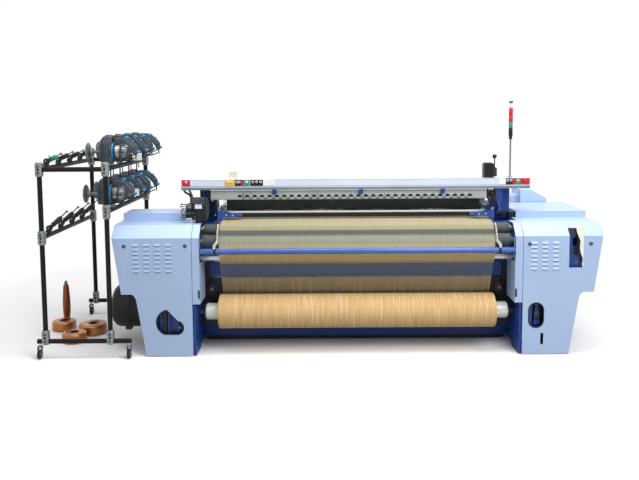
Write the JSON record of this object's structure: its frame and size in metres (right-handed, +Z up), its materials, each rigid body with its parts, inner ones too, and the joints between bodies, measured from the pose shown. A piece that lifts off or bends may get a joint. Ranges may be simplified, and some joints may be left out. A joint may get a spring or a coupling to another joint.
{
  "type": "rapier power loom",
  "caption": "Wide rapier weaving machine with sheet covers, warp beam, shedding frames, reed, cloth take-up and a wheeled weft-feeder stand with yarn packages beside it.",
  "frame": {"origin": "on the floor, under the middle of the whole outline, stand and packages included", "axes": "+X to the weaver's right, +Y from the weaver's side to the warp side, +Z up"},
  "size_m": [5.527, 1.937, 2.4],
  "materials": {
    "cover_paint": "semi-gloss powder coat, pale periwinkle",
    "frame_paint": "semi-gloss enamel, royal blue",
    "beam_paint": "semi-gloss powder coat, off white",
    "dark_paint": "satin, near black",
    "motor_paint": "satin enamel, near black",
    "cast_grey": "satin grey casting",
    "tube_black": "satin black powder coat",
    "steel": "bright turned steel",
    "roller_rubber": "matt dark grey roller covering",
    "cloth": "matt woven cloth, cream to tan",
    "warp": "matt spun yarn, cream",
    "copper_yarn": "lustrous filament yarn, copper brown",
    "feeder_grey": "matt dark blue-grey moulding",
    "feeder_drum": "white and silver drum with a cyan ring",
    "plate_mixed": "coloured button plates",
    "cyan_plastic": "gloss cyan",
    "red_plastic": "gloss red",
    "lamp": "translucent lamp lenses",
    "cream_plastic": "matt cream",
    "selector_mixed": "matt black with green plate",
    "caster_tread": "matt black tread",
    "band_composite": "satin carbon-fibre band",
    "temple_blue": "blue brackets with dark cylinders"
  },
  "bodies": {
    "loom": {"side_frames": "frame_paint", "cross_beams": "beam_paint", "left_front_cover": "cover_paint", "right_front_cover": "cover_paint", "inner_panels": "cover_paint", "left_top_tray": "cover_paint", "right_top_cover": "cover_paint", "dobby_housing": "cover_paint", "main_motor": "motor_paint", "rapier_gearboxes": "cast_grey", "rapier_guides": "dark_paint", "top_beam": "beam_paint", "beam_posts": "frame_paint", "slotted_panel": "beam_paint", "button_plates": "plate_mixed", "signal_pole": "steel", "signal_lamps": "lamp", "junction_box": "cream_plastic", "switch_box": "dark_paint", "weft_selector": "selector_mixed", "temples": "temple_blue", "temple_bar": "dark_paint", "guard_bar": "frame_paint", "cloth_web": "cloth", "warp_yarns": "warp", "warp_stop_motion": "steel", "rapier_bands": "band_composite", "stand_frame": "tube_black", "stand_clamps": "cast_grey", "feeder_housings": "feeder_grey", "feeder_drums": "feeder_drum", "yarn_tensioners": "cast_grey", "yarn_packages": "copper_yarn"},
    "switch_lever": {"switch_lever": "dark_paint"},
    "breast_roller": {"breast_roller": "roller_rubber"},
    "take_up_roller": {"take_up_roller": "roller_rubber"},
    "spreader_roller": {"spreader_roller": "steel"},
    "cloth_beam": {"roll_core": "steel", "cloth_roll": "cloth"},
    "sley": {"sley": "cast_grey", "reed": "steel"},
    "odd_healds": {"odd_heald_frames": "steel"},
    "even_healds": {"even_heald_frames": "steel"},
    "back_rest_roller": {"back_rest_roller": "steel"},
    "warp_beam": {"warp_beam": "warp"},
    "main_shaft": {"main_shaft": "steel"},
    "left_rapier_wheel": {"left_rapier_wheel": "steel"},
    "right_rapier_wheel": {"right_rapier_wheel": "steel"},
    "left_rapier": {"left_rapier": "steel"},
    "right_rapier": {"right_rapier": "steel"},
    "start_button": {"start_button": "cyan_plastic"},
    "stop_button": {"stop_button": "red_plastic"},
    "front_left_caster_fork": {"front_left_caster_fork": "steel"},
    "front_left_caster_wheel": {"front_left_caster_wheel": "caster_tread"},
    "front_right_caster_fork": {"front_right_caster_fork": "steel"},
    "front_right_caster_wheel": {"front_right_caster_wheel": "caster_tread"},
    "rear_left_caster_fork": {"rear_left_caster_fork": "steel"},
    "rear_left_caster_wheel": {"rear_left_caster_wheel": "caster_tread"},
    "rear_right_caster_fork": {"rear_right_caster_fork": "steel"},
    "rear_right_caster_wheel": {"rear_right_caster_wheel": "caster_tread"}
  },
  "joints": [
    {"name": "switch_lever_hinge", "type": "hinge", "parent": "loom", "child": "switch_lever", "pos_m": [1.8455, -0.4365, 1.7], "axis": [0, 1, 0], "range_deg": [0, 30]},
    {"name": "warp_beam_spin", "type": "hinge", "parent": "loom", "child": "warp_beam", "pos_m": [0.4635, 0.5485, 0.52], "axis": [1, 0, 0], "continuous": true},
    {"name": "back_rest_spin", "type": "hinge", "parent": "loom", "child": "back_rest_roller", "pos_m": [0.4635, 0.6685, 1.2037], "axis": [1, 0, 0], "continuous": true},
    {"name": "breast_roller_spin", "type": "hinge", "parent": "loom", "child": "breast_roller", "pos_m": [0.4635, -0.7065, 1.188], "axis": [1, 0, 0], "continuous": true},
    {"name": "take_up_spin", "type": "hinge", "parent": "loom", "child": "take_up_roller", "pos_m": [0.4635, -0.7615, 1.082], "axis": [1, 0, 0], "continuous": true},
    {"name": "spreader_spin", "type": "hinge", "parent": "loom", "child": "spreader_roller", "pos_m": [0.4635, -0.7715, 0.925], "axis": [1, 0, 0], "continuous": true},
    {"name": "cloth_beam_spin", "type": "hinge", "parent": "loom", "child": "cloth_beam", "pos_m": [0.4635, -0.7015, 0.386], "axis": [1, 0, 0], "continuous": true},
    {"name": "sley_swing", "type": "hinge", "parent": "loom", "child": "sley", "pos_m": [0.4635, -0.3815, 0.56], "axis": [-1, 0, 0], "range_deg": [0, 9.5]},
    {"name": "odd_heald_lift", "type": "slide", "parent": "loom", "child": "odd_healds", "axis": [0, 0, 1], "range_m": [-0.045, 0.045]},
    {"name": "even_heald_lift", "type": "slide", "parent": "loom", "child": "even_healds", "axis": [0, 0, 1], "range_m": [-0.045, 0.045]},
    {"name": "main_shaft_spin", "type": "hinge", "parent": "loom", "child": "main_shaft", "pos_m": [0.4635, -0.3715, 0.365], "axis": [1, 0, 0], "continuous": true},
    {"name": "left_wheel_turn", "type": "hinge", "parent": "loom", "child": "left_rapier_wheel", "pos_m": [-1.5015, -0.3915, 0.99], "axis": [0, 1, 0], "range_deg": [0, 259.8]},
    {"name": "right_wheel_turn", "type": "hinge", "parent": "loom", "child": "right_rapier_wheel", "pos_m": [2.4285, -0.3915, 0.99], "axis": [0, 1, 0], "range_deg": [-259.8, 0]},
    {"name": "left_rapier_slide", "type": "slide", "parent": "loom", "child": "left_rapier", "axis": [-1, 0, 0], "range_m": [-1.315, 0], "deforming": ["rapier_bands"]},
    {"name": "right_rapier_slide", "type": "slide", "parent": "loom", "child": "right_rapier", "axis": [1, 0, 0], "range_m": [-1.315, 0]},
    {"name": "start_button_press", "type": "slide", "parent": "loom", "child": "start_button", "axis": [0, 1, 0], "range_m": [0, 0.004], "stiffness_N_per_m": 400},
    {"name": "stop_button_press", "type": "slide", "parent": "loom", "child": "stop_button", "axis": [0, 1, 0], "range_m": [0, 0.004], "stiffness_N_per_m": 500},
    {"name": "front_left_swivel", "type": "hinge", "parent": "loom", "child": "front_left_caster_fork", "pos_m": [-2.5345, -0.9115, 0.142], "axis": [0, 0, 1], "continuous": true},
    {"name": "front_left_roll", "type": "hinge", "parent": "front_left_caster_fork", "child": "front_left_caster_wheel", "pos_m": [-2.5345, -0.9235, 0.045], "axis": [1, 0, 0], "continuous": true},
    {"name": "front_right_swivel", "type": "hinge", "parent": "loom", "child": "front_right_caster_fork", "pos_m": [-1.6935, -0.9115, 0.142], "axis": [0, 0, 1], "continuous": true},
    {"name": "front_right_roll", "type": "hinge", "parent": "front_right_caster_fork", "child": "front_right_caster_wheel", "pos_m": [-1.6935, -0.9235, 0.045], "axis": [1, 0, 0], "continuous": true},
    {"name": "rear_left_swivel", "type": "hinge", "parent": "loom", "child": "rear_left_caster_fork", "pos_m": [-2.5345, 0.5485, 0.142], "axis": [0, 0, 1], "continuous": true},
    {"name": "rear_left_roll", "type": "hinge", "parent": "rear_left_caster_fork", "child": "rear_left_caster_wheel", "pos_m": [-2.5345, 0.5605, 0.045], "axis": [1, 0, 0], "continuous": true},
    {"name": "rear_right_swivel", "type": "hinge", "parent": "loom", "child": "rear_right_caster_fork", "pos_m": [-1.6935, 0.5485, 0.142], "axis": [0, 0, 1], "continuous": true},
    {"name": "rear_right_roll", "type": "hinge", "parent": "rear_right_caster_fork", "child": "rear_right_caster_wheel", "pos_m": [-1.6935, 0.5605, 0.045], "axis": [1, 0, 0], "continuous": true}
  ],
  "couplings": [
    {"joint": "back_rest_spin", "follows": "warp_beam_spin", "ratio": 4.2857},
    {"joint": "breast_roller_spin", "follows": "warp_beam_spin", "ratio": 5.7692},
    {"joint": "take_up_spin", "follows": "warp_beam_spin", "ratio": 4.6875},
    {"joint": "spreader_spin", "follows": "warp_beam_spin", "ratio": 10},
    {"joint": "cloth_beam_spin", "follows": "warp_beam_spin", "ratio": -1.8293},
    {"joint": "even_heald_lift", "follows": "odd_heald_lift", "ratio": -1},
    {"joint": "right_wheel_turn", "follows": "left_wheel_turn", "ratio": -1},
    {"joint": "left_rapier_slide", "follows": "left_wheel_turn", "m_per_rad": -0.29},
    {"joint": "right_rapier_slide", "follows": "left_wheel_turn", "m_per_rad": -0.29}
  ]
}
